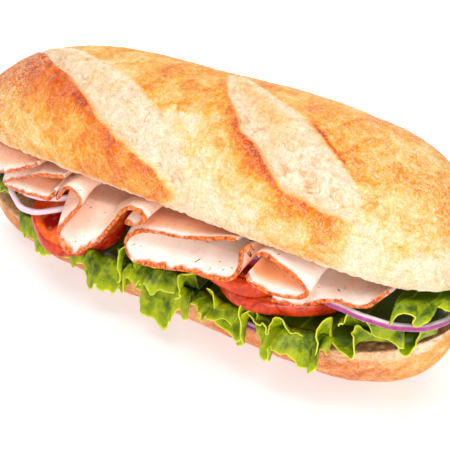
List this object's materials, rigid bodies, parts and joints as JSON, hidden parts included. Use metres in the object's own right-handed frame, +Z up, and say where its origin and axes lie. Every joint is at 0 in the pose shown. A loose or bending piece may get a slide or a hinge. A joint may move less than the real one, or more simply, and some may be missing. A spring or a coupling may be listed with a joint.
{
  "type": "submarine sandwich",
  "caption": "Long crusty roll with diagonal scores, cut in two and filled with frilly lettuce, tomato slices, red onion rings and folded slices of turkey.",
  "frame": {"origin": "on the table, under the middle of the whole sandwich", "axes": "+X along the roll, +Z up, and -Y out of the open side that shows in the picture"},
  "size_m": [0.2582, 0.0964, 0.104],
  "materials": {
    "bread_crust": "dry baked crust, golden brown and pale in the scores",
    "lettuce": "fresh leaf with a soft shine",
    "turkey": "moist sliced meat with a browned edge",
    "tomato": "wet cut tomato with glossy skin",
    "red_onion": "moist and slightly see-through, with a purple skin"
  },
  "bodies": {
    "root": {"bread_bottom": "bread_crust", "bread_top": "bread_crust", "lettuce_leaf_1": "lettuce", "lettuce_leaf_2": "lettuce", "lettuce_leaf_3": "lettuce", "lettuce_leaf_4": "lettuce", "lettuce_leaf_5": "lettuce", "lettuce_leaf_6": "lettuce", "lettuce_leaf_7": "lettuce", "lettuce_leaf_8": "lettuce", "turkey_slice_1": "turkey", "turkey_slice_2": "turkey", "turkey_slice_3": "turkey", "turkey_slice_4": "turkey", "turkey_slice_5": "turkey", "turkey_slice_6": "turkey", "tomato_slice_1": "tomato", "tomato_slice_2": "tomato", "tomato_slice_3": "tomato", "tomato_slice_4": "tomato", "tomato_slice_5": "tomato", "onion_ring_1": "red_onion", "onion_ring_2": "red_onion", "onion_ring_3": "red_onion", "onion_ring_4": "red_onion", "onion_ring_5": "red_onion"}
  },
  "joints": []
}
